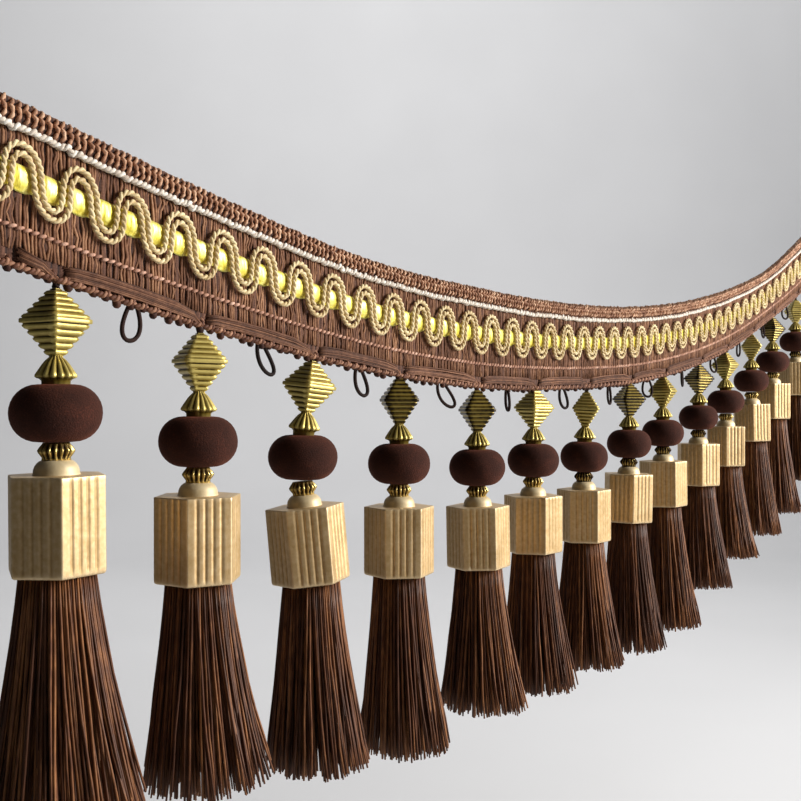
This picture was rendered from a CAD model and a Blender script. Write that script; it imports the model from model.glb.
"""Tassel fringe trim, dressed.

A ribbed gimp tape with a corded scroll, picots, yarn loops and beaded tassels, hung in a swag.
"""

import math
import random

import bmesh
import bpy
import numpy as np
from mathutils import Matrix, Vector, noise


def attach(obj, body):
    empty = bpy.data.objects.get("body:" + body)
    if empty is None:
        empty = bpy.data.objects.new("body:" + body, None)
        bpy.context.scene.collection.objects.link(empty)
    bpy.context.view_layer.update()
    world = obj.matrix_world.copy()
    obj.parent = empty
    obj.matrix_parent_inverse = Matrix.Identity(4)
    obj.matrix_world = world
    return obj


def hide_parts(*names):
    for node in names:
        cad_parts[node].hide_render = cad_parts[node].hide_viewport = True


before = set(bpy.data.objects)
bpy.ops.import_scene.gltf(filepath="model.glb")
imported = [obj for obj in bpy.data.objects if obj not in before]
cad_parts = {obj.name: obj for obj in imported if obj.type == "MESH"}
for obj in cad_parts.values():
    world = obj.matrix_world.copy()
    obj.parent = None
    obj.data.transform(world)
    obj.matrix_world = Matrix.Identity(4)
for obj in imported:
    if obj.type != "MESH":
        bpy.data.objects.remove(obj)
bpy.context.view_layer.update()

MM = 0.001
PITCH = 34.3 * MM
TRIM_LENGTH = 14.2 * PITCH
GAP = 0.3 * MM
FRONT = Vector((0.0, -1.0, 0.0))

# The camera: 1000 pixels' focal length on an 801 pixel picture, level, to the left of the trim
CAMERA_LENS = 44.94
CAMERA_SENSOR = 36.0
CAMERA_PLACE = (0.5 * PITCH - 0.1036, -0.1566, -0.0536)
CAMERA_TURN = math.radians(-52.5)

# The swag in rows along the trim: heights in millimetres, and shares of the tape's width
ROW_STEP = 1.5 * PITCH
HANG_ROWS = (0.0, -10.4, -18.5, -21.3, -21.6, -19.0, -12.9, -3.3, 10.2, 30.6, 54.3)
WIDTH_ROWS = (1.06, 1.03, 1.0, 1.03, 1.01, 1.01, 1.0, 0.965, 0.9, 1.02, 1.05)
SLOPE_STEP = 0.5 * MM

# The weave: its ribs are counted along the trim
RIB = PITCH / 24
RIBS = int(TRIM_LENGTH / RIB)
RIB_COLUMNS = 4
STRIP_COLUMNS = 3
SWAY_KNOTS = 5
TAPE_DROP = 27.0

# Drops below the tape's top edge and distances in front of its middle, in millimetres
CREAM_DROP = 5.1
CREAM_FRONT = 1.7
METAL_TOP = 10.7
METAL_BOTTOM = 14.9
METAL_EDGE = 0.95
METAL_SWELL = 1.15
METAL_BACK = 0.7
RIDGE_DROP = 21.2
PICOT_DROP = 26.75
EDGE_BOTTOM = 27.4

# The scroll of two cords
SCROLL_PERIOD = PITCH / 3
SCROLL_MIDDLE = 12.87
SCROLL_RISE = 4.43
SCROLL_SHIFT = 2.1
SCROLL_ROUND = 0.4
SCROLL_FRONT = 2.15
SCROLL_APART = 0.8
SCROLL_STEPS = 32
SCROLL_FIRST_STEP = 11

# The cords' paths and the long yarns of the foot
PATH_POINTS = 1400
PICOT_STEPS = 12
FOOT_YARNS = 9

# The loops between the tassels: their turns in degrees, and how far their ends hang aside
LOOP_LENGTH = 6.8
LOOP_ROOT = 0.9
LOOP_WIDTH = 2.6
LOOP_STEPS = 24
LOOP_TURNS = (-5, 2, -4, -30, 48, -10, 10, -40, 15, -20, 40, 0, -30)
LOOP_SLANTS = (-0.6, 3.0, 1.8, 2.9, -1.0, 1.6, 1.2, 0.5, 2.2, 1.0, 0.0, 1.8, 0.6)

# The square bead and its bell cap
BICONE_HEIGHT = 12.0
BICONE_CORNER = 6.3
BICONE_TIP = 1.9
BICONE_SHOULDER = 5.3
BICONE_BAND = 0.9
BICONE_INSET = 0.3
BICONE_RIDGES = 5
RIDGE_STEPS = ((0.0, -0.3), (0.14, -0.3), (0.3, 0.1), (0.55, 0.2), (0.82, 0.1), (0.99, -0.3))
BELL_HEIGHT = 4.7
BELL_RIM = 3.45
BELL_FOOT = 2.4
BELL_FLUTES = 15

# The round bead
RONDELLE_HEIGHT = 10.2
RONDELLE_RADIUS = 8.0
RONDELLE_FLAT = 3.2
RONDELLE_ROWS = 16

# The spacer, the dome and the six-sided cap
SPACER_HEIGHT = 3.0
SPACER_RADIUS = 3.4
SPACER_TEETH = 16
DOME_HEIGHT = 2.5
DOME_RADIUS = 4.0
DOME_RIM = 4.1
CAP_HEIGHT = 17.5
CAP_CORNER = 9.1
CAP_COLUMNS = 300
CAP_GROOVES = 5
CAP_GROOVE_DEPTH = 0.026

# The skirt of cut yarns
HEAD_RADIUS = 6.8
YARNS_A_SKIRT = 560
SKIRT_KNOTS = 8
SKIRT_LOCKS = 23
SKIRT_OPENING = 1.22
SKIRT_DRIFT = Vector((0.9, -1.1, 0.0)) * MM
GOLDEN_ANGLE = 2.399963

# The tassels: millimetres aside, turns and leans in degrees, an extra drop and the skirt's shape
UPPER_LENGTH = BICONE_HEIGHT + BELL_HEIGHT
LOWER_LENGTH = SPACER_HEIGHT + DOME_HEIGHT + CAP_HEIGHT
LEAN_AXIS = Vector((-0.74, -0.67, 0.0)).normalized()
TASSEL_COLUMNS = (
    "aside", "bead_turn", "cap_turn", "bead_lean", "cap_lean",
    "extra_drop", "skirt_length", "skirt_spread",
)
TASSEL_ROWS = (
    (0.0, 54.5, 31.5, 0.0, 0.5, 0.7, 44.0, 2.15),
    (-1.0, 23.6, 5.6, -1.0, 0.0, 0.7, 40.4, 1.95),
    (-1.5, 40.3, 46.3, -7.0, 5.0, 0.0, 41.1, 1.85),
    (-3.0, 2.2, 45.2, 0.0, 0.0, 0.0, 44.0, 1.8),
    (-0.8, 3.1, 36.1, 0.0, 1.0, 0.7, 39.2, 1.9),
    (-2.5, 29.7, 24.7, -1.0, 0.0, 0.0, 41.8, 1.8),
    (-1.5, 71.8, 27.8, -2.5, 0.0, 1.3, 41.3, 1.9),
    (-2.0, 9.5, 6.5, 0.0, -1.0, 0.0, 45.4, 1.85),
    (-5.5, 52.5, 23.5, 0.0, 0.5, 0.0, 46.2, 1.85),
    (-1.5, 15.8, 0.8, -1.0, 0.0, 0.4, 41.8, 1.9),
    (-5.0, 39.3, 51.3, 1.0, 0.0, 0.3, 39.9, 1.85),
    (-4.0, 68.0, 53.0, 0.0, 1.0, 0.3, 43.1, 1.9),
    (-6.0, 26.9, 52.9, 0.0, 0.0, 0.2, 46.0, 1.85),
    (-1.5, 85.9, 25.9, 0.0, 0.5, 1.3, 44.0, 1.9),
)
TASSELS = [dict(zip(TASSEL_COLUMNS, row)) for row in TASSEL_ROWS]

# How near two points of a mesh are when they become one
YARN_MERGE = 0.004 * MM
CLOTH_MERGE = 0.003 * MM
BEAD_MERGE = 0.002 * MM

# The studio, in metres
FLOOR_HEIGHT = -0.42
FLOOR_NEAR = -1.6
FLOOR_FAR = 2.2
FLOOR_WIDTH = 7.0
SWEEP_RADIUS = 0.9
SWEEP_STEPS = 8
WALL_TOP = 3.2
TRIM_MIDDLE = Vector((0.22, -0.02, -0.06))
CAMERA_RIGHT = Vector((0.609, -0.793, 0.0))
CAMERA_AHEAD = Vector((0.793, 0.609, 0.0))


# The camera

def set_camera():
    """The camera of the picture."""
    data = bpy.data.cameras.new("camera")
    data.lens = CAMERA_LENS
    data.sensor_width = CAMERA_SENSOR
    data.clip_start = 0.01
    camera = bpy.data.objects.new("camera", data)
    camera.location = CAMERA_PLACE
    camera.rotation_euler = (math.radians(90), 0.0, CAMERA_TURN)
    bpy.context.scene.collection.objects.link(camera)
    bpy.context.scene.camera = camera


set_camera()


# Places along the trim

def along(rows, x):
    """The rows' value at a place along the trim, on a smooth curve through them."""
    ends = (2 * rows[0] - rows[1], *rows, 2 * rows[-1] - rows[-2])
    place = min(max(x / ROW_STEP, 0.0), len(rows) - 1.001)
    row = int(place)
    t = place - row
    before, start, end, after = ends[row:row + 4]
    leave = (end - before) / 2
    arrive = (after - start) / 2
    return (
        start
        + leave * t
        + (3 * (end - start) - 2 * leave - arrive) * t * t
        + (2 * (start - end) + leave + arrive) * t ** 3
    )


def hang(x):
    """The height of the tape's top edge."""
    return along(HANG_ROWS, x) * MM


def slope(x):
    """How steeply the tape's top edge runs."""
    return (hang(x + SLOPE_STEP) - hang(x - SLOPE_STEP)) / (2 * SLOPE_STEP)


def on_tape(x, drop, front):
    """A point of the hanging tape: drop across its width and front towards -Y, in millimetres."""
    return Vector((x, -front * MM, hang(x) - drop * MM * along(WIDTH_ROWS, x)))


def tassel_place(index):
    """Where a tassel hangs along the trim."""
    return (index + 0.5) * PITCH + TASSELS[index]["aside"] * MM


def bead_top(index):
    """The top of a tassel's square bead, clear of the tape's foot."""
    x = tassel_place(index)
    clear = GAP + BICONE_TIP * MM * abs(slope(x)) + TASSELS[index]["extra_drop"] * MM
    return on_tape(x, EDGE_BOTTOM, 0.0) - Vector((0.0, 0.0, clear))


def seat(radius, lean, other_lean):
    """The room between two beads that lean by different angles and touch within a radius."""
    return GAP + radius * MM * abs(math.sin(math.radians(lean - other_lean)))


# Finishes

class Value:
    """A number that a material works out, with the operators of a number."""

    def __init__(self, finish, socket):
        self.finish = finish
        self.socket = socket

    def worked(self, operation, first, second):
        return self.finish.node("ShaderNodeMath", {"operation": operation}, {0: first, 1: second})

    def __add__(self, other):
        return self.worked("ADD", self, other)

    def __radd__(self, other):
        return self.worked("ADD", other, self)

    def __sub__(self, other):
        return self.worked("SUBTRACT", self, other)

    def __rsub__(self, other):
        return self.worked("SUBTRACT", other, self)

    def __mul__(self, other):
        return self.worked("MULTIPLY", self, other)

    def __rmul__(self, other):
        return self.worked("MULTIPLY", other, self)

    def __mod__(self, other):
        return self.worked("FLOORED_MODULO", self, other)


class Finish:
    """A material, made node by node."""

    def __init__(self, name, **fixed):
        self.material = bpy.data.materials.new(name)
        self.material.use_nodes = True
        self.tree = self.material.node_tree
        self.shader = self.tree.nodes["Principled BSDF"]
        for socket, value in fixed.items():
            self.shader.inputs[socket.replace("_", " ")].default_value = value

    def node(self, kind, settings=None, sockets=None, output=0):
        made = self.tree.nodes.new(kind)
        for setting, value in (settings or {}).items():
            if setting == "stops":
                ramp = made.color_ramp
                while len(ramp.elements) < len(value):
                    ramp.elements.new(0.5)
                for element, (place, shade) in zip(ramp.elements, value):
                    element.position = place
                    element.color = (*shade, 1.0)
            else:
                setattr(made, setting, value)
        for socket, value in (sockets or {}).items():
            if isinstance(value, Value):
                self.tree.links.new(value.socket, made.inputs[socket])
            else:
                made.inputs[socket].default_value = value
        return Value(self, made.outputs[output])

    def place(self):
        """Where a spot lies on the object."""
        return self.node("ShaderNodeTexCoord", output="Object")

    def stretched(self, source, scale):
        return self.node("ShaderNodeVectorMath", {"operation": "MULTIPLY"}, {0: source, 1: scale})

    def noise(self, source, scale, detail=3.0):
        sockets = {"Vector": source, "Scale": scale, "Detail": detail}
        return self.node("ShaderNodeTexNoise", None, sockets)

    def each(self):
        """A number of its own for each yarn or stitch."""
        return self.node("ShaderNodeNewGeometry", output="Random Per Island")

    def worn(self):
        """Over a half on edges that stand out and get rubbed, under a half in grooves."""
        return self.node("ShaderNodeNewGeometry", output="Pointiness")

    def own(self, layer):
        """The two places of a piece's own UV map."""
        plan = self.node("ShaderNodeUVMap", {"uv_map": layer})
        across = self.node("ShaderNodeSeparateXYZ", None, {0: plan})
        return across, Value(self, across.socket.node.outputs[1])

    def shade(self, mask, *stops):
        """Colours by the mask's value."""
        return self.node("ShaderNodeValToRGB", {"stops": stops}, {0: mask})

    def mixed(self, factor, first, second):
        return self.node(
            "ShaderNodeMix", {"data_type": "RGBA", "blend_type": "MIX"},
            {0: factor, 6: first, 7: second}, output=2,
        )

    def wave(self, value):
        return self.node("ShaderNodeMath", {"operation": "SINE"}, {0: value})

    def size(self, value):
        return self.node("ShaderNodeMath", {"operation": "ABSOLUTE"}, {0: value})

    def held(self, value):
        """The value, kept between nought and one."""
        return self.node("ShaderNodeClamp", None, {0: value})

    def raised(self, height, distance, strength=1.0):
        """Fine relief that is too small for the mesh."""
        sockets = {"Height": height, "Distance": distance, "Strength": strength}
        bump = self.node("ShaderNodeBump", None, sockets)
        self.tree.links.new(bump.socket, self.shader.inputs["Normal"])

    def give(self, socket, value):
        self.tree.links.new(value.socket, self.shader.inputs[socket])


def srgb(red, green, blue):
    """A colour from its values out of 255."""
    def straight(part):
        part = part / 255
        return part / 12.92 if part <= 0.04045 else ((part + 0.055) / 1.055) ** 2.4
    return straight(red), straight(green), straight(blue)


def spun_yarn(name, dark, middle, light, roughness=0.8, fuzz=0.00012, fibre=(1.0, 1.0, 1.0)):
    """Yarn: a tone of its own for each strand, fine fibres, and a soft sheen."""
    finish = Finish(
        name, Roughness=roughness, Specular_IOR_Level=0.3,
        Sheen_Weight=0.06, Sheen_Roughness=0.5,
    )
    finish.shader.inputs["Sheen Tint"].default_value = (*light, 1.0)
    spot = finish.stretched(finish.place(), fibre)
    cloudy = finish.noise(spot, 900.0, 4.0)
    broad = finish.noise(spot, 90.0, 2.0)
    tone = finish.held(cloudy * 0.55 + finish.each() * 0.35 + broad * 0.4 - 0.15)
    finish.give("Base Color", finish.shade(tone, (0.15, dark), (0.5, middle), (0.85, light)))
    fine = finish.noise(spot, 2600.0, 2.0)
    finish.raised(cloudy + fine * 0.6, fuzz, 0.7)
    return finish.material


def weave_finish():
    """The ground under the ribs, dark between them."""
    finish = Finish("brown_ribs", Roughness=0.88, Sheen_Weight=0.05, Sheen_Roughness=0.5)
    rib, drop = finish.own("weave")
    part = finish.size(rib % 1.0 - 0.5) * 2.0
    furrow = finish.held((part - 0.5) * 2.2)
    grain = finish.noise(finish.stretched(finish.place(), (1.0, 1.0, 0.25)), 1800.0, 4.0)
    cloud = finish.noise(finish.place(), 70.0, 2.0)
    tone = finish.held(grain * 0.7 + cloud * 0.35 - 0.05)
    ground = finish.shade(
        tone, (0.15, srgb(44, 23, 17)), (0.5, srgb(98, 62, 45)), (0.9, srgb(146, 104, 80)),
    )
    finish.give("Base Color", finish.mixed(furrow, ground, (*srgb(34, 16, 12), 1.0)))
    pick = finish.wave(drop * 12.0 + rib * 3.1) * 0.5
    finish.raised(grain + pick * 0.35, 0.00015, 0.7)
    return finish.material


def lurex_finish():
    """Flat metal yarn, bright yellow on its swells and olive towards their edges."""
    finish = Finish("gold_lurex", Metallic=0.4, Roughness=0.36)
    spot = finish.stretched(finish.place(), (1.0, 1.0, 0.22))
    crease = finish.noise(spot, 900.0, 2.0)
    tone = finish.held(crease * 0.9 + (finish.worn() - 0.5) * 3.0 + 0.08)
    finish.give("Base Color", finish.shade(
        tone, (0.25, srgb(140, 116, 20)), (0.48, srgb(226, 208, 70)), (0.76, srgb(252, 244, 142)),
    ))
    finish.raised(crease, 0.00035, 0.8)
    return finish.material


def plated_finish(name, dark, middle, light, roughness, metallic, rub, cloudy):
    """A plated or coated bead: fine grain, cloudy wear, rubbed edges and darker grooves."""
    finish = Finish(name, Metallic=metallic, Roughness=roughness)
    spot = finish.place()
    grain = finish.noise(spot, 900.0, 3.0)
    cloud = finish.noise(spot, 160.0, 3.0)
    edge = finish.held((finish.worn() - 0.5) * 6.0 * rub + 0.5) - 0.45
    tone = finish.held(grain * 0.3 + (cloud - 0.5) * cloudy + 0.35 + edge)
    finish.give("Base Color", finish.shade(tone, (0.2, dark), (0.5, middle), (0.9, light)))
    finish.give("Roughness", finish.held(cloud * 0.25 + roughness - 0.12))
    finish.raised(grain + cloud * 0.5, 0.00008, 0.5)
    return finish.material


def flocked_finish():
    """Short velvety flock over a round bead."""
    finish = Finish(
        "flocked_brown", Roughness=0.95, Specular_IOR_Level=0.25,
        Sheen_Weight=0.2, Sheen_Roughness=0.45,
    )
    finish.shader.inputs["Sheen Tint"].default_value = (*srgb(205, 108, 74), 1.0)
    spot = finish.place()
    pile = finish.noise(spot, 3200.0, 2.0)
    cloud = finish.noise(spot, 260.0, 3.0)
    tone = finish.held(pile * 0.6 + cloud * 0.5 - 0.05)
    finish.give("Base Color", finish.shade(
        tone, (0.2, srgb(30, 13, 8)), (0.55, srgb(56, 27, 18)), (0.9, srgb(98, 51, 35)),
    ))
    finish.raised(pile + cloud * 0.4, 0.00018, 0.8)
    return finish.material


# Yarns: dark, middle and light tones, then roughness. Plated pieces: the same three tones, then
# roughness, metal, rubbing of the edges and cloudiness.
FINISHES = {
    "ground": weave_finish(),
    "ribs": spun_yarn(
        "brown_rib_yarns", srgb(64, 36, 23), srgb(122, 82, 57), srgb(186, 140, 105), 0.75,
    ),
    "braid": spun_yarn(
        "brown_braid", srgb(116, 76, 58), srgb(184, 138, 108), srgb(248, 210, 176), 0.6,
    ),
    "cream": spun_yarn(
        "cream_cord", srgb(160, 140, 122), srgb(228, 218, 204), srgb(252, 250, 244),
    ),
    "gimp": spun_yarn(
        "beige_gimp", srgb(120, 90, 50), srgb(200, 174, 126), srgb(248, 232, 188), 0.5,
    ),
    "lurex": lurex_finish(),
    "ridge": spun_yarn("rose_ridge", srgb(124, 84, 68), srgb(182, 138, 116), srgb(232, 194, 172)),
    "floats": spun_yarn(
        "brown_floats", srgb(46, 24, 15), srgb(94, 59, 40), srgb(150, 106, 78), 0.7,
    ),
    "picots": spun_yarn(
        "brown_picots", srgb(48, 23, 15), srgb(102, 63, 45), srgb(190, 142, 112), 0.65,
    ),
    "nubs": spun_yarn("dark_nubs", srgb(34, 16, 11), srgb(64, 35, 25), srgb(104, 66, 48), 0.7),
    "loops": spun_yarn("dark_loops", srgb(16, 8, 6), srgb(30, 15, 11), srgb(50, 28, 20), 0.85),
    "olive": plated_finish(
        "olive_gold", srgb(44, 34, 8), srgb(150, 126, 48), srgb(208, 188, 108), 0.4, 0.6, 1.4, 0.4,
    ),
    "flock": flocked_finish(),
    "spacer": plated_finish(
        "dark_gold", srgb(40, 27, 12), srgb(110, 85, 40), srgb(206, 180, 110),
        0.34, 0.85, 1.6, 0.3,
    ),
    "dome": plated_finish(
        "cream_gold", srgb(172, 148, 104), srgb(210, 188, 144), srgb(238, 222, 186),
        0.55, 0.25, 0.4, 0.25,
    ),
    "cap": plated_finish(
        "matte_gold", srgb(110, 79, 42), srgb(198, 164, 112), srgb(246, 226, 186),
        0.46, 0.55, 0.5, 0.12,
    ),
    "skirt": spun_yarn(
        "dark_skirt", srgb(40, 22, 14), srgb(94, 56, 34), srgb(172, 116, 70), 0.5,
        fuzz=0.0001, fibre=(1.0, 1.0, 0.3),
    ),
}


# Ways of making a piece

def finished(name, mesh, finish, nodes=()):
    """A piece that hangs with the trim, stands for its nodes and takes its finish from a slot."""
    mesh.materials.clear()
    mesh.materials.append(FINISHES[finish])
    mesh.shade_smooth()
    piece = bpy.data.objects.new(name, mesh)
    bpy.context.scene.collection.objects.link(piece)
    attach(piece, "root")
    if nodes:
        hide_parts(*nodes)
    return piece


def mesh_of(name, bm):
    """A mesh of a closed shape, its faces turned outwards."""
    bmesh.ops.recalc_face_normals(bm, faces=bm.faces)
    mesh = bpy.data.meshes.new(name)
    bm.to_mesh(mesh)
    bm.free()
    return mesh


def joined(name, parts):
    """One mesh of several closed shapes."""
    whole = bmesh.new()
    for part in parts:
        scrap = mesh_of("scrap", part)
        whole.from_mesh(scrap)
        bpy.data.meshes.remove(scrap)
    mesh = bpy.data.meshes.new(name)
    whole.to_mesh(mesh)
    whole.free()
    return mesh


def yarn_mesh(name, strands, radius, sides=6):
    """Round yarns along their points; a fourth number of a point is its share of the radius."""
    guide = bpy.data.curves.new(name, "CURVE")
    guide.dimensions = "3D"
    guide.bevel_depth = radius * MM
    guide.bevel_resolution = (sides - 4) // 2
    guide.use_fill_caps = True
    for strand in strands:
        knots = np.array([tuple(knot) for knot in strand], dtype=float)
        spline = guide.splines.new("POLY")
        spline.points.add(len(knots) - 1)
        places = np.column_stack((knots[:, :3], np.ones(len(knots))))
        spline.points.foreach_set("co", places.ravel())
        if knots.shape[1] > 3:
            spline.points.foreach_set("radius", knots[:, 3].copy())
    spool = bpy.data.objects.new(name, guide)
    bpy.context.scene.collection.objects.link(spool)
    bpy.context.view_layer.update()
    graph = bpy.context.evaluated_depsgraph_get()
    mesh = bpy.data.meshes.new_from_object(spool.evaluated_get(graph))
    bpy.data.objects.remove(spool, do_unlink=True)
    bm = bmesh.new()
    bm.from_mesh(mesh)
    bpy.data.meshes.remove(mesh)
    bmesh.ops.remove_doubles(bm, verts=bm.verts, dist=YARN_MERGE)
    return mesh_of(name, bm)


def run_of(path):
    """How far along a path each of its points lies."""
    return np.concatenate(([0.0], np.cumsum(np.linalg.norm(np.diff(path, axis=0), axis=1))))


def evenly(points, step):
    """The same path, its points a step apart."""
    path = np.array([tuple(point) for point in points])
    run = run_of(path)
    marks = np.linspace(0.0, run[-1], max(2, round(run[-1] / step)) + 1)
    return np.column_stack([np.interp(marks, run, path[:, axis]) for axis in range(3)])


def plied(path, plies, pitch, offset):
    """Yarns twisted round each other along a path."""
    tangent = np.gradient(path, axis=0)
    tangent /= np.linalg.norm(tangent, axis=1)[:, None]
    side = np.cross(tangent, np.array(tuple(FRONT)))
    side /= np.linalg.norm(side, axis=1)[:, None]
    lift = np.cross(side, tangent)
    run = run_of(path)
    strands = []
    for ply in range(plies):
        angle = (math.tau * (run / pitch + ply / plies))[:, None]
        strands.append(path + offset * (np.cos(angle) * side + np.sin(angle) * lift))
    return strands


def turned(profile, steps, outline, matrix):
    """A turned bead: a profile of radius and height is spun round.

    The outline gives a share of the radius for each angle and height.
    """
    bm = bmesh.new()
    verts = [bm.verts.new((radius * MM, 0.0, height * MM)) for radius, height in profile]
    edges = [bm.edges.new(pair) for pair in zip(verts, verts[1:])]
    bmesh.ops.spin(
        bm, geom=verts + edges, cent=(0.0, 0.0, 0.0), axis=(0.0, 0.0, 1.0), dvec=(0.0, 0.0, 0.0),
        angle=math.tau, steps=steps, use_merge=True,
    )
    bmesh.ops.remove_doubles(bm, verts=bm.verts, dist=BEAD_MERGE)
    for vert in bm.verts:
        share = outline(math.atan2(vert.co.y, vert.co.x), vert.co.z / MM)
        vert.co.x *= share
        vert.co.y *= share
    bm.transform(matrix)
    return bm


def polygon(sides, blunt):
    """A share of the radius that turns a round outline into a polygon with blunted corners."""
    step = math.tau / sides

    def share(angle):
        full = math.cos(step / 2) / math.cos(angle % step - step / 2)
        return min(full, blunt + (full - blunt) * 0.25) if full > blunt else full
    return share


# The tape

def tape_rows():
    """Down the tape's front and up its back: drop, distance in front, and the ribs' height."""
    front = [(0.3, 0.5, 0.0), (0.8, 0.95, 0.0), (3.6, 1.0, 0.0), (4.2, 0.72, 0.1)]
    front += [(4.6 + 0.85 * index, 0.72, 0.34) for index in range(24)]
    front += [(25.0, 0.72, 0.25), (25.9, 0.7, 0.15), (26.6, 0.55, 0.1), (TAPE_DROP, 0.2, 0.0)]
    back = [(TAPE_DROP, -0.2, 0.0), (26.5, -0.6, 0.1)]
    back += [(25.0 - 2.1 * index, -0.72, 0.22) for index in range(10)]
    back += [(3.4, -0.85, 0.0), (0.9, -0.85, 0.0), (0.3, -0.5, 0.0), (0.3, 0.5, 0.0)]
    return front + back


def wrapped_cloth(name, rows, end_to_end, columns, rib_height, wander):
    """A closed, ribbed strip of cloth, woven flat and then hung in the trim's swag."""
    columns_a_rib = columns // RIBS
    bm = bmesh.new()
    layer = bm.loops.layers.uv.new("weave")
    bmesh.ops.create_grid(bm, x_segments=columns, y_segments=len(rows) - 1, size=0.5)
    rng = np.random.default_rng(5)
    height_of = 1.0 + 0.3 * rng.uniform(-1.0, 1.0, RIBS + 2)
    sway = rng.normal(0.0, wander, (RIBS + 2, SWAY_KNOTS))
    spots = {}
    for vert in bm.verts:
        column = round((vert.co.x + 0.5) * columns)
        row = round((vert.co.y + 0.5) * (len(rows) - 1))
        spots[vert] = (column, row)
    for vert, (column, row) in spots.items():
        for loop in vert.link_loops:
            loop[layer].uv = (column / columns_a_rib, rows[row][0] if row < len(rows) - 1 else 0.0)
    start, end = end_to_end
    places = [start + (end - start) * column / columns for column in range(columns + 1)]
    heights = [hang(x) for x in places]
    widths = [along(WIDTH_ROWS, x) for x in places]
    for vert, (column, row) in spots.items():
        drop, front, ribbed = rows[row]
        rib, part = divmod(column, columns_a_rib)
        bulge = math.sin(math.pi * part / columns_a_rib) ** 0.8
        out = math.copysign(ribbed * rib_height * bulge * height_of[rib], front)
        knot = min(drop / TAPE_DROP, 0.999) * (SWAY_KNOTS - 1)
        low = int(knot)
        aside = sway[rib][low] * (1 - knot + low) + sway[rib][low + 1] * (knot - low)
        keep = 0.0 if column in (0, columns) or not ribbed else 1.0
        x = places[column] + aside * MM * keep
        vert.co = (x, -(front + out) * MM, heights[column] - drop * MM * widths[column])
    bmesh.ops.remove_doubles(bm, verts=bm.verts, dist=CLOTH_MERGE)
    rim = [edge for edge in bm.edges if edge.is_boundary]
    bmesh.ops.holes_fill(bm, edges=rim, sides=0)
    return mesh_of(name, bm)


def make_tape():
    """The woven ground of the trim, which carries all that is sewn to it."""
    mesh = wrapped_cloth(
        "gimp_tape_cloth", tape_rows(), (0.0, RIBS * RIB), RIBS * RIB_COLUMNS, 1.0, 0.09,
    )
    return finished("gimp_tape_cloth", mesh, "ground", ["gimp_tape"])


def make_lurex():
    """The flat gold strip behind the scroll, swollen between its turns."""
    rows = [(METAL_TOP, METAL_EDGE, 0.0)]
    rows += [(METAL_TOP + 0.2 + 0.45 * index, METAL_SWELL, 0.1) for index in range(11)]
    rows += [(METAL_BOTTOM, METAL_EDGE, 0.0), (METAL_BOTTOM, METAL_BACK, 0.0)]
    rows += [(METAL_TOP, METAL_BACK, 0.0), (METAL_TOP, METAL_EDGE, 0.0)]
    ends = (0.4 * RIB, (RIBS - 0.4) * RIB)
    mesh = wrapped_cloth("gold_lurex_strip", rows, ends, RIBS * STRIP_COLUMNS, 0.3, 0.0)
    middle = (METAL_TOP + METAL_BOTTOM) / 2
    half = (METAL_BOTTOM - METAL_TOP) / 2
    for vert in mesh.vertices:
        x = vert.co.x
        if vert.co.y > -1.0 * MM:
            continue
        drop = (hang(x) - vert.co.z) / MM / along(WIDTH_ROWS, x)
        puff = abs(math.cos(math.tau * (x + SCROLL_SHIFT * MM) / SCROLL_PERIOD)) ** 0.7
        round_off = max(0.0, 1.0 - abs((drop - middle) / half) ** 2.5)
        vert.co.y -= 0.75 * MM * puff * round_off ** 0.5
        vert.co.z += (drop - middle) * 0.42 * (1.0 - puff) * MM
    return finished("gold_lurex_strip", mesh, "lurex")


def make_rib_yarns():
    """The upright yarns of the field, two to a rib, that lean together and part here and there."""
    rng = random.Random(33)
    stops = (5.2, 6.6, 8.3, 10.2, 13.0, 15.6, 17.4, 19.2, 20.9, 22.6, 24.8)
    partings = (1, 2, 6, 7)
    margin = 0.6 * MM
    strands = []
    for rib in range(RIBS):
        middle = (rib + 0.5) * RIB
        if not margin < middle < TRIM_LENGTH - margin:
            continue
        lean = [rng.gauss(0.0, 0.16) for _ in stops]
        opening = [rng.uniform(0.2, 0.4) for _ in stops]
        for knot in partings:
            if rng.random() < 0.35:
                opening[knot] = rng.uniform(0.3, 0.52)
                lean[knot] += rng.gauss(0.0, 0.22)
        stand = rng.uniform(0.8, 1.05)
        for side in (-1, 1):
            strand = []
            for stop, aside, apart in zip(stops, lean, opening):
                low = 0.12 if 9.0 < stop < 16.0 else 0.0
                spot = on_tape(middle + (aside + side * apart) * MM, stop, stand - low)
                strand.append((*spot, rng.uniform(0.85, 1.1)))
            strands.append(strand)
    mesh = yarn_mesh("field_rib_yarns", strands, 0.3)
    return finished("field_rib_yarns", mesh, "ribs")


def stitch_row(start, mid, end, jitter, seed):
    """One short stitch for each rib, bent over its middle; a point is aside, drop and front."""
    rng = random.Random(seed)
    margin = 0.2 * MM
    stitches = []
    for rib in range(RIBS):
        x = (rib + 0.5) * RIB
        lift = rng.uniform(-jitter, jitter)
        lean = rng.uniform(-jitter, jitter)
        knots = []
        for spot, (aside, drop, front) in zip((0.0, 1.0, 0.0), (start, mid, end)):
            place = min(max(x + (aside + lean * spot) * MM, margin), TRIM_LENGTH - margin)
            knots.append((place, drop + lift, front + 0.5 * lift * spot))
        first, bend, last = knots
        turns = []
        for tip in (first, last):
            halfway = [(a + b) / 2 for a, b in zip(tip, bend)]
            turns.append(tuple(k * 0.35 + h * 0.65 for k, h in zip(bend, halfway)))
        route = (first, turns[0], bend, turns[1], last)
        stitches.append([
            (*on_tape(place, drop, front), share)
            for (place, drop, front), share in zip(route, (0.75, 1.0, 1.08, 1.0, 0.75))
        ])
    return stitches


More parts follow.
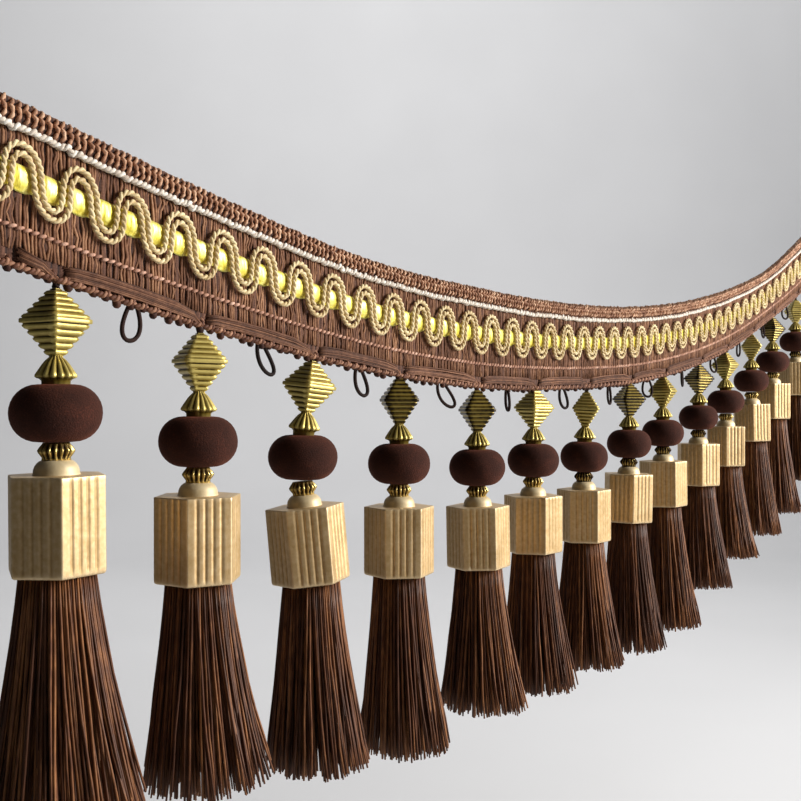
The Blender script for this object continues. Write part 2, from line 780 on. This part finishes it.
def make_heading():
    """The braided heading: three rows of slanted loops, a nubby top edge and a plainer back."""
    rows = stitch_row((-0.5, 1.95, 0.8), (-0.05, 1.15, 1.45), (0.4, 0.4, 0.7), 0.2, 3)
    rows += stitch_row((0.45, 3.05, 0.8), (0.0, 2.25, 1.6), (-0.45, 1.55, 0.9), 0.2, 4)
    rows += stitch_row((-0.45, 4.2, 0.8), (-0.05, 3.4, 1.5), (0.4, 2.65, 0.9), 0.2, 12)
    rows += stitch_row((0.2, 1.0, 0.95), (0.5, 0.3, 0.1), (0.75, 1.0, -0.85), 0.2, 5)
    rows += stitch_row((-0.4, 3.9, -0.7), (0.0, 2.5, -1.15), (0.4, 1.0, -0.75), 0.08, 6)
    mesh = yarn_mesh("heading_braid", rows, 0.35)
    return finished("heading_braid", mesh, "braid")


def tape_path(drop, front, wobble, seed, step):
    """A hand-laid line along the whole tape, with a slow sway and small kinks."""
    start = Vector((seed * 3.7, 0.0, 0.0))
    margin = 0.3 * MM
    path = []
    for x in np.linspace(margin, TRIM_LENGTH - margin, PATH_POINTS):
        sway = noise.noise(Vector((x * 60.0, 0.0, 0.0)) + start)
        kink = 1.5 * noise.noise(Vector((x * 760.0, 5.0, 0.0)) + start)
        path.append(on_tape(x, drop + wobble * (0.8 * sway + kink), front - 0.25 * kink))
    return evenly(path, step * MM)


def make_cream_cord():
    """The cream cord of two yarns under the heading."""
    path = tape_path(CREAM_DROP, CREAM_FRONT, 0.42, 1, 0.36)
    mesh = yarn_mesh("cream_twist", plied(path, 2, 2.1 * MM, 0.35 * MM), 0.38)
    return finished("cream_twist", mesh, "cream", ["cream_cord"])


def scroll_point(turn, apart):
    """A point of the scroll, apart from its middle line, in the plane of the tape."""
    def middle(angle):
        along_trim = SCROLL_PERIOD * (angle + SCROLL_ROUND * math.sin(2 * angle)) / math.tau
        height = SCROLL_RISE * math.cos(angle) - SCROLL_MIDDLE
        return Vector((along_trim - SCROLL_SHIFT * MM, height * MM))
    run = (middle(turn + 0.05) - middle(turn - 0.05)).normalized()
    return middle(turn) + Vector((-run.y, run.x)) * apart * MM


def make_scroll():
    """Two twisted cords side by side, in three turns for each tassel."""
    last_step = int(TRIM_LENGTH / SCROLL_PERIOD * SCROLL_STEPS)
    cords = (
        ("scroll_outer_cord", SCROLL_APART, 2, ["scroll_gimp"]),
        ("scroll_inner_cord", -SCROLL_APART, 9, []),
    )
    pieces = []
    for name, apart, seed, nodes in cords:
        path = []
        for step in range(SCROLL_FIRST_STEP, last_step):
            spot = scroll_point(math.tau * step / SCROLL_STEPS, apart)
            stray = 0.14 * noise.noise(Vector((spot.x * 230.0, seed, 0.0)))
            drop = -spot.y / MM + 0.3 * noise.noise(Vector((spot.x * 160.0, seed + 4.0, 0.0)))
            path.append(on_tape(spot.x + stray * MM, drop, SCROLL_FRONT))
        plies = plied(evenly(path, 0.4 * MM), 2, 2.6 * MM, 0.29 * MM)
        pieces.append(finished(name, yarn_mesh(name, plies, 0.34), "gimp", nodes))
    return pieces


def make_ridge():
    """The rose line of stitches between the field and the foot."""
    ends = [(aside, RIDGE_DROP - 0.4 * aside, 1.25) for aside in (-0.75, 0.75)]
    rows = stitch_row(ends[0], (0.0, RIDGE_DROP, 1.5), ends[1], 0.08, 8)
    mesh = yarn_mesh("rose_ridge", rows, 0.34)
    return finished("rose_ridge", mesh, "ridge")


def make_floats():
    """Ropes of long yarns along the foot, gathered to each tassel, and short ones at the back."""
    rows = stitch_row((-0.7, 26.2, -0.6), (0.0, 24.7, -1.0), (0.7, 23.2, -0.6), 0.08, 11)
    rng = random.Random(51)
    margin = 0.4 * MM
    gathers = [-0.6 * PITCH]
    gathers += [tassel_place(index) for index in range(len(TASSELS))]
    gathers.append(TRIM_LENGTH + 0.4 * PITCH)
    for near, far in zip(gathers, gathers[1:]):
        for yarn in range(FOOT_YARNS):
            level = 0.26 * yarn + rng.uniform(-0.12, 0.12)
            swell = 0.3 * math.sin(math.pi * (yarn + 0.5) / FOOT_YARNS)
            out = 1.15 + swell + rng.uniform(-0.1, 0.1)
            run = (
                (0.03, 25.0 + level, out - 0.4), (0.1, 24.6 + level, out),
                (0.25, 24.3 + level, out), (0.5, 24.2 + level, out),
                (0.78, 24.4 + level, out), (0.91, 25.3 + 0.7 * level, out),
                (0.98, 27.2 + 0.2 * level, out - 0.2),
            )
            strand = []
            for share, drop, front in run:
                x = near + (far - near) * (share + rng.uniform(-0.008, 0.008))
                if margin < x < TRIM_LENGTH - margin:
                    strand.append((*on_tape(x, drop + rng.uniform(-0.12, 0.12), front), 1.0))
            if len(strand) > 1:
                rows.append(strand)
    mesh = yarn_mesh("foot_floats", rows, 0.2)
    return finished("foot_floats", mesh, "floats")


def make_picots():
    """Twisted loops along the foot, with dark nubs under them."""
    each = 2.0 * RIB
    count = int(TRIM_LENGTH / each) - 1
    path = []
    for index in range(count * PICOT_STEPS):
        t = index / PICOT_STEPS
        angle = math.tau * t
        uneven = 0.25 * noise.noise(Vector((t * 0.9, 2.0, 0.0)))
        x = (t + 0.5) * each - 0.7 * each * math.sin(angle) / 2
        drop = PICOT_DROP - (0.7 + uneven) * math.cos(angle)
        path.append(on_tape(x, drop, 0.5 - 0.45 * math.sin(angle + 0.8)))
    plies = plied(evenly(path, 0.42 * MM), 2, 2.0 * MM, 0.33 * MM)
    mesh = yarn_mesh("picot_loops", plies, 0.4)
    loops = finished("picot_loops", mesh, "picots", ["picot_edging"])
    rng = random.Random(21)
    nubs = []
    for index in range(count):
        x = (index + 0.55) * each + rng.uniform(-0.4, 0.4) * MM
        deep = rng.uniform(27.7, 28.5)
        aside = rng.uniform(-0.3, 0.5) * MM
        nubs.append([
            (*on_tape(x, 26.6, 0.0), 0.7),
            (*on_tape(x + 0.4 * aside, 27.3, 0.2), 1.15),
            (*on_tape(x + aside, deep, 0.2), 1.05),
            (*on_tape(x + aside, deep + 0.4, 0.1), 0.55),
        ])
    mesh = yarn_mesh("picot_nubs", nubs, 0.78)
    return [loops, finished("picot_nubs", mesh, "nubs")]


def make_hanging_yarns():
    """The dark loops between the tassels, and the yarn that carries each tassel."""
    loops = []
    for index in range(len(TASSELS) - 1):
        midway = (tassel_place(index) + tassel_place(index + 1)) / 2
        turn = math.radians(LOOP_TURNS[index])
        side = Vector((math.cos(turn), math.sin(turn), 0.0))
        root = on_tape(midway, EDGE_BOTTOM - LOOP_ROOT, 0.0)
        path = []
        for step in range(LOOP_STEPS + 1):
            angle = math.tau * (step / LOOP_STEPS - 0.5)
            down = (LOOP_LENGTH + LOOP_ROOT) * (0.5 + 0.5 * math.cos(angle))
            width = LOOP_WIDTH * math.sin(angle) * (0.4 + 0.6 * math.cos(angle / 2) ** 2)
            width += LOOP_SLANTS[index] * (down / LOOP_LENGTH) ** 1.5
            path.append(root + side * width * MM - Vector((0.0, 0.0, down * MM)))
        loops.append(evenly(path, 0.5 * MM))
    mesh = yarn_mesh("yarn_loops", loops, 0.45, 8)
    hung = finished("yarn_loops", mesh, "loops")
    hangers = []
    for index in range(len(TASSELS)):
        foot = bead_top(index)
        top = on_tape(tassel_place(index), EDGE_BOTTOM - 1.6, 0.0)
        low = foot - Vector((0.0, 0.0, 0.6 * MM))
        hangers += plied(evenly([top, foot, low], 0.35 * MM), 3, 3.0 * MM, 0.4 * MM)
    mesh = yarn_mesh("hanging_yarns", hangers, 0.34)
    return [hung, finished("hanging_yarns", mesh, "loops")]


# The tassels

def ridged_cone(near, far, top, height):
    """Ridges down a cone, from one radius to another: radius and height of each point."""
    points = []
    for index in range(BICONE_RIDGES):
        for part, out in RIDGE_STEPS:
            t = (index + part) / BICONE_RIDGES
            points.append((near + (far - near) * t + out, top - height * t))
    return points


def square_profile():
    """The square bead: ridges up its cone, a plain band, and ridges down its lower cone."""
    waist = BICONE_CORNER - BICONE_INSET
    band_foot = BICONE_SHOULDER + BICONE_BAND
    lower = BICONE_HEIGHT - band_foot
    return [
        (0.0, 0.0), (0.7, 0.0), (1.15, -0.12),
        *ridged_cone(1.25, waist, -0.15, BICONE_SHOULDER - 0.15),
        (BICONE_CORNER - 0.1, -BICONE_SHOULDER - 0.1), (BICONE_CORNER, -BICONE_SHOULDER - 0.3),
        (BICONE_CORNER, -band_foot + 0.15), (BICONE_CORNER - 0.1, -band_foot),
        *ridged_cone(waist, 1.4, -band_foot - 0.05, lower - 0.05),
        (1.3, -BICONE_HEIGHT), (0.0, -BICONE_HEIGHT),
    ]


def make_upper_bead(number, matrix):
    """The square bead and the fluted bell cap under it."""
    square = polygon(4, 0.985)
    bicone = turned(square_profile(), 48, lambda angle, height: square(angle), matrix)
    bell_profile = (
        (0.0, 0.4), (1.15, 0.3), (1.15, -0.2), (1.75, -0.75), (2.25, -1.4), (2.7, -2.1),
        (3.1, -2.75), (BELL_RIM, -3.3), (BELL_RIM + 0.05, -3.65), (BELL_RIM - 0.2, -3.9),
        (2.85, -4.05), (BELL_FOOT + 0.1, -4.4), (BELL_FOOT, -BELL_HEIGHT - 0.75),
        (0.0, -BELL_HEIGHT - 0.75),
    )

    def fluted(angle, height):
        deep = 0.16 if height > -4.0 else 0.02
        return 1.0 + deep * (abs(math.cos(BELL_FLUTES / 2 * angle)) - 0.7)
    under = matrix @ Matrix.Translation((0.0, 0.0, -BICONE_HEIGHT * MM))
    bell = turned(bell_profile, 90, fluted, under)
    name = "square_bead_" + number
    mesh = joined(name, [bicone, bell])
    return finished(name, mesh, "olive", ["bead_gold_" + number])


def make_rondelle(number, matrix, seed):
    """The round bead: flat at its holes, a little uneven from the hand."""
    half = RONDELLE_HEIGHT / 2
    swell = RONDELLE_RADIUS - RONDELLE_FLAT
    profile = [(0.0, -0.3), (1.6, -0.2), (RONDELLE_FLAT, 0.0)]
    for index in range(1, RONDELLE_ROWS):
        angle = math.pi * index / RONDELLE_ROWS
        radius = RONDELLE_FLAT + swell * math.sin(angle)
        profile.append((radius, half * (math.cos(angle) - 1)))
    profile += [(RONDELLE_FLAT, -RONDELLE_HEIGHT)]
    profile += [(1.6, 0.2 - RONDELLE_HEIGHT), (0.0, 0.3 - RONDELLE_HEIGHT)]

    def hand_made(angle, height):
        spot = Vector((math.cos(angle) * 2, math.sin(angle) * 2, height * 0.3 + seed))
        return 1.0 + 0.008 * noise.noise(spot)
    name = "round_bead_" + number
    mesh = mesh_of(name, turned(profile, 48, hand_made, matrix))
    return finished(name, mesh, "flock", ["bead_brown_" + number])


def make_stem(number, matrix):
    """The toothed spacer and the smooth dome above the cap."""
    spacer_profile = (
        (0.0, 0.2), (2.2, 0.2), (2.35, -0.1), (2.75, -0.6), (SPACER_RADIUS - 0.3, -1.15),
        (3.05, -1.5), (2.7, -2.0), (2.35, -2.5), (2.45, -SPACER_HEIGHT), (0.0, -SPACER_HEIGHT),
    )

    def toothed(angle, height):
        deep = 1.0 if -2.4 < height < -0.2 else 0.4
        return 1.04 - 0.22 * abs(math.sin(SPACER_TEETH / 2 * angle)) ** 1.5 * deep
    nodes = ["cap_gold_" + number]
    name = "spacer_" + number
    mesh = mesh_of(name, turned(spacer_profile, 96, toothed, matrix))
    spacer = finished(name, mesh, "spacer", nodes)
    foot = SPACER_HEIGHT + DOME_HEIGHT
    dome_profile = (
        (0.0, -SPACER_HEIGHT + 0.15), (2.5, -SPACER_HEIGHT + 0.1), (2.95, -SPACER_HEIGHT - 0.1),
        (3.4, -SPACER_HEIGHT - 0.5), (3.75, -SPACER_HEIGHT - 1.0), (3.95, -SPACER_HEIGHT - 1.6),
        (DOME_RADIUS, -foot + 0.3), (DOME_RIM, -foot + 0.1), (DOME_RIM, -foot - 0.2),
        (0.0, -foot - 0.2),
    )
    name = "dome_" + number
    mesh = mesh_of(name, turned(dome_profile, 36, lambda angle, height: 1.0, matrix))
    return [spacer, finished(name, mesh, "dome", nodes)]


def make_cap(number, matrix, seed):
    """The six-sided cap, with flat upright ridges in each face and narrow grooves between them."""
    foot = SPACER_HEIGHT + DOME_HEIGHT
    hexagon = polygon(6, 0.993)
    face_turn = math.tau / 6
    profile = [(0.0, 0.0), (CAP_CORNER - 2.6, 0.0), (CAP_CORNER - 0.3, 0.0)]
    profile += [(CAP_CORNER - 0.06, -0.06), (CAP_CORNER, -0.25)]
    profile += [(CAP_CORNER, -0.9 - 1.5 * index) for index in range(11)]
    profile += [(CAP_CORNER, -CAP_HEIGHT + 1.1), (CAP_CORNER - 0.03, -CAP_HEIGHT + 0.6)]
    profile += [(CAP_CORNER - 0.15, -CAP_HEIGHT + 0.25), (CAP_CORNER - 0.5, -CAP_HEIGHT + 0.05)]
    profile += [(CAP_CORNER - 2.2, -CAP_HEIGHT), (0.0, -CAP_HEIGHT)]

    def kept(value):
        return min(1.0, max(0.0, value))

    def ridged(angle, height):
        face, part = divmod(angle % math.tau, face_turn)
        part /= face_turn
        inside = kept((0.1 - height) / 0.8) * kept(height + CAP_HEIGHT - 0.3)
        spot = Vector((round(part * CAP_GROOVES) * 1.7, face * 3.1, seed))
        uneven = 0.9 + 0.25 * noise.noise(spot)
        groove = uneven * (0.5 + 0.5 * math.cos(math.tau * CAP_GROOVES * part)) ** 3
        corner = min(kept(part * 12.0 - 0.7), kept((1.0 - part) * 12.0 - 0.7))
        return hexagon(angle) * (1.0 - CAP_GROOVE_DEPTH * groove * inside * corner)
    name = "hexagon_cap_" + number
    under = matrix @ Matrix.Translation((0.0, 0.0, -foot * MM))
    mesh = mesh_of(name, turned(profile, CAP_COLUMNS, ridged, under))
    return finished(name, mesh, "cap", ["cap_gold_" + number])


def make_skirt(number, tassel, matrix, seed):
    """Cut yarns that leave a bound head side by side and part in locks towards their ends."""
    rng = random.Random(seed)
    length = tassel["skirt_length"]
    spread = tassel["skirt_spread"]
    locks = [
        (rng.gauss(0.0, 0.05), rng.uniform(-0.5, 0.6), rng.uniform(0.3, 0.75))
        for _ in range(SKIRT_LOCKS)
    ]
    strands = []
    for index in range(YARNS_A_SKIRT):
        share = math.sqrt((index + 0.5) / YARNS_A_SKIRT)
        angle = index * GOLDEN_ANGLE % math.tau
        lock = int(angle / math.tau * SKIRT_LOCKS)
        lock_aside, lock_out, pull = locks[lock]
        toward = (lock + 0.5) / SKIRT_LOCKS * math.tau + lock_aside - angle
        root = HEAD_RADIUS * (0.2 + 0.8 * share) * 0.94
        reach = spread * rng.uniform(0.95, 1.04)
        if rng.random() < 0.9:
            own_length = length * rng.uniform(0.975, 1.005)
        else:
            own_length = length * rng.uniform(0.9, 0.975)
        twist = rng.gauss(0.0, 0.06)
        phase = rng.uniform(0.0, math.tau)
        waves = rng.uniform(0.8, 2.2)
        depth = rng.uniform(0.05, 0.3)
        curl = rng.gauss(0.0, 0.4) + lock_out * share
        if rng.random() < 0.03:
            curl = rng.uniform(0.8, 2.2)
        strand = []
        for knot in range(SKIRT_KNOTS):
            t = knot / (SKIRT_KNOTS - 1)
            wave = waves * math.tau * t
            radius = root * (1.0 + (reach - 1.0) * t ** SKIRT_OPENING)
            radius += depth * t * math.sin(wave + phase) + curl * t ** 3
            sideways = depth * 0.8 * t * math.cos(wave + phase * 1.7) / max(radius, 1.0)
            place = angle + twist * t + sideways + toward * pull * t
            spot = Vector((
                radius * math.cos(place) * MM,
                radius * math.sin(place) * MM,
                (1.2 * (1 - t) - own_length * t) * MM,
            ))
            thin = 1.0 if 0 < knot < SKIRT_KNOTS - 1 else 0.8
            strand.append((*(matrix @ spot + SKIRT_DRIFT * t ** 1.5), thin))
        strands.append(strand)
    name = "yarn_skirt_" + number
    mesh = yarn_mesh(name, strands, 0.28, 4)
    return finished(name, mesh, "skirt", ["skirt_" + number])


def hang_tassel(index):
    """One tassel, bead by bead down its yarn."""
    tassel = TASSELS[index]
    number = f"{index + 1:02d}"
    bead_lean = tassel["bead_lean"]
    cap_lean = tassel["cap_lean"]
    middle_lean = (bead_lean + cap_lean) / 2
    spot = bead_top(index)
    spot.z -= BICONE_TIP * MM * abs(math.sin(math.radians(bead_lean)))

    def placed(lean, turn):
        tilt = Matrix.Rotation(math.radians(lean), 4, LEAN_AXIS)
        return Matrix.Translation(spot) @ tilt @ Matrix.Rotation(math.radians(turn - 90), 4, "Z")

    def below(lean, next_lean, length, contact):
        down = Matrix.Rotation(math.radians(lean), 4, LEAN_AXIS) @ Vector((0.0, 0.0, -1.0))
        return spot + down * (length * MM + seat(contact, lean, next_lean))

    make_upper_bead(number, placed(bead_lean, tassel["bead_turn"]))
    spot = below(bead_lean, middle_lean, UPPER_LENGTH, BELL_FOOT)
    make_rondelle(number, placed(middle_lean, 0.0), index)
    spot = below(middle_lean, cap_lean, RONDELLE_HEIGHT, SPACER_RADIUS)
    cap_place = placed(cap_lean, tassel["cap_turn"])
    make_stem(number, cap_place)
    make_cap(number, cap_place, index * 1.7)
    spot = below(cap_lean, 0.0, LOWER_LENGTH, HEAD_RADIUS)
    make_skirt(number, tassel, placed(0.0, 0.0), index + 40)


# The studio

def make_floor():
    """A pale floor that sweeps up behind the trim, square to the camera."""
    bm = bmesh.new()
    outline = [(FLOOR_NEAR, FLOOR_HEIGHT), (FLOOR_FAR, FLOOR_HEIGHT)]
    for step in range(1, SWEEP_STEPS + 1):
        angle = math.pi / 2 * step / SWEEP_STEPS
        rise = SWEEP_RADIUS * (1 - math.cos(angle))
        outline.append((FLOOR_FAR + SWEEP_RADIUS * math.sin(angle), FLOOR_HEIGHT + rise))
    outline.append((FLOOR_FAR + SWEEP_RADIUS, WALL_TOP))
    verts = [bm.verts.new((-FLOOR_WIDTH / 2, away, height)) for away, height in outline]
    edges = [bm.edges.new(pair) for pair in zip(verts, verts[1:])]
    grown = bmesh.ops.extrude_edge_only(bm, edges=edges)["geom"]
    far = [item for item in grown if isinstance(item, bmesh.types.BMVert)]
    bmesh.ops.translate(bm, vec=(FLOOR_WIDTH, 0.0, 0.0), verts=far)
    bm.transform(Matrix.Rotation(CAMERA_TURN, 4, "Z"))
    mesh = mesh_of("floor_sweep", bm)
    mesh.shade_smooth()
    paint = Finish("pale_floor", Roughness=0.9)
    cloud = paint.noise(paint.place(), 3.0, 2.0)
    tones = ((0.3, (0.68, 0.68, 0.69)), (0.7, (0.71, 0.71, 0.72)))
    paint.give("Base Color", paint.shade(cloud, *tones))
    mesh.materials.append(paint.material)
    sweep = bpy.data.objects.new("floor_sweep", mesh)
    bpy.context.scene.collection.objects.link(sweep)


def make_lights():
    """A soft key light on the right, a weak one on the left and a broad one for the wall."""
    key = CAMERA_RIGHT * 1.1 - CAMERA_AHEAD * 0.08 + Vector((0.0, 0.0, 0.36))
    fill = CAMERA_RIGHT * -1.2 - CAMERA_AHEAD * 0.9 + Vector((0.0, 0.0, 0.8))
    wall = CAMERA_AHEAD * 1.0 + Vector((0.0, 0.0, 2.0))
    wall_aim = CAMERA_AHEAD * 2.0 + Vector((0.0, 0.0, -0.8))
    lamps = (
        ("key_light", key, -key, 0.5, 27.0, (1.0, 0.98, 0.95)),
        ("fill_light", fill, -fill, 1.2, 0.3, (0.97, 0.98, 1.0)),
        ("wall_light", wall, wall_aim, 3.0, 64.0, (1.0, 1.0, 1.0)),
    )
    for name, way, aim, size, power, tint in lamps:
        lamp = bpy.data.lights.new(name, "AREA")
        lamp.shape = "SQUARE"
        lamp.size = size
        lamp.energy = power
        lamp.color = tint
        holder = bpy.data.objects.new(name, lamp)
        holder.location = TRIM_MIDDLE + way
        holder.rotation_euler = aim.to_track_quat("-Z", "Y").to_euler()
        bpy.context.scene.collection.objects.link(holder)
    world = bpy.data.worlds.new("studio")
    bpy.context.scene.world = world
    world.use_nodes = True
    air = world.node_tree.nodes["Background"]
    air.inputs["Color"].default_value = (0.62, 0.62, 0.63, 1.0)
    air.inputs["Strength"].default_value = 0.05
    bpy.context.scene.view_settings.view_transform = "Standard"


tape = make_tape()
trimmings = [
    make_lurex(), make_rib_yarns(), make_heading(), make_cream_cord(), *make_scroll(),
    make_ridge(), make_floats(), *make_picots(), *make_hanging_yarns(),
]
for tassel_index in range(len(TASSELS)):
    hang_tassel(tassel_index)
make_floor()
make_lights()
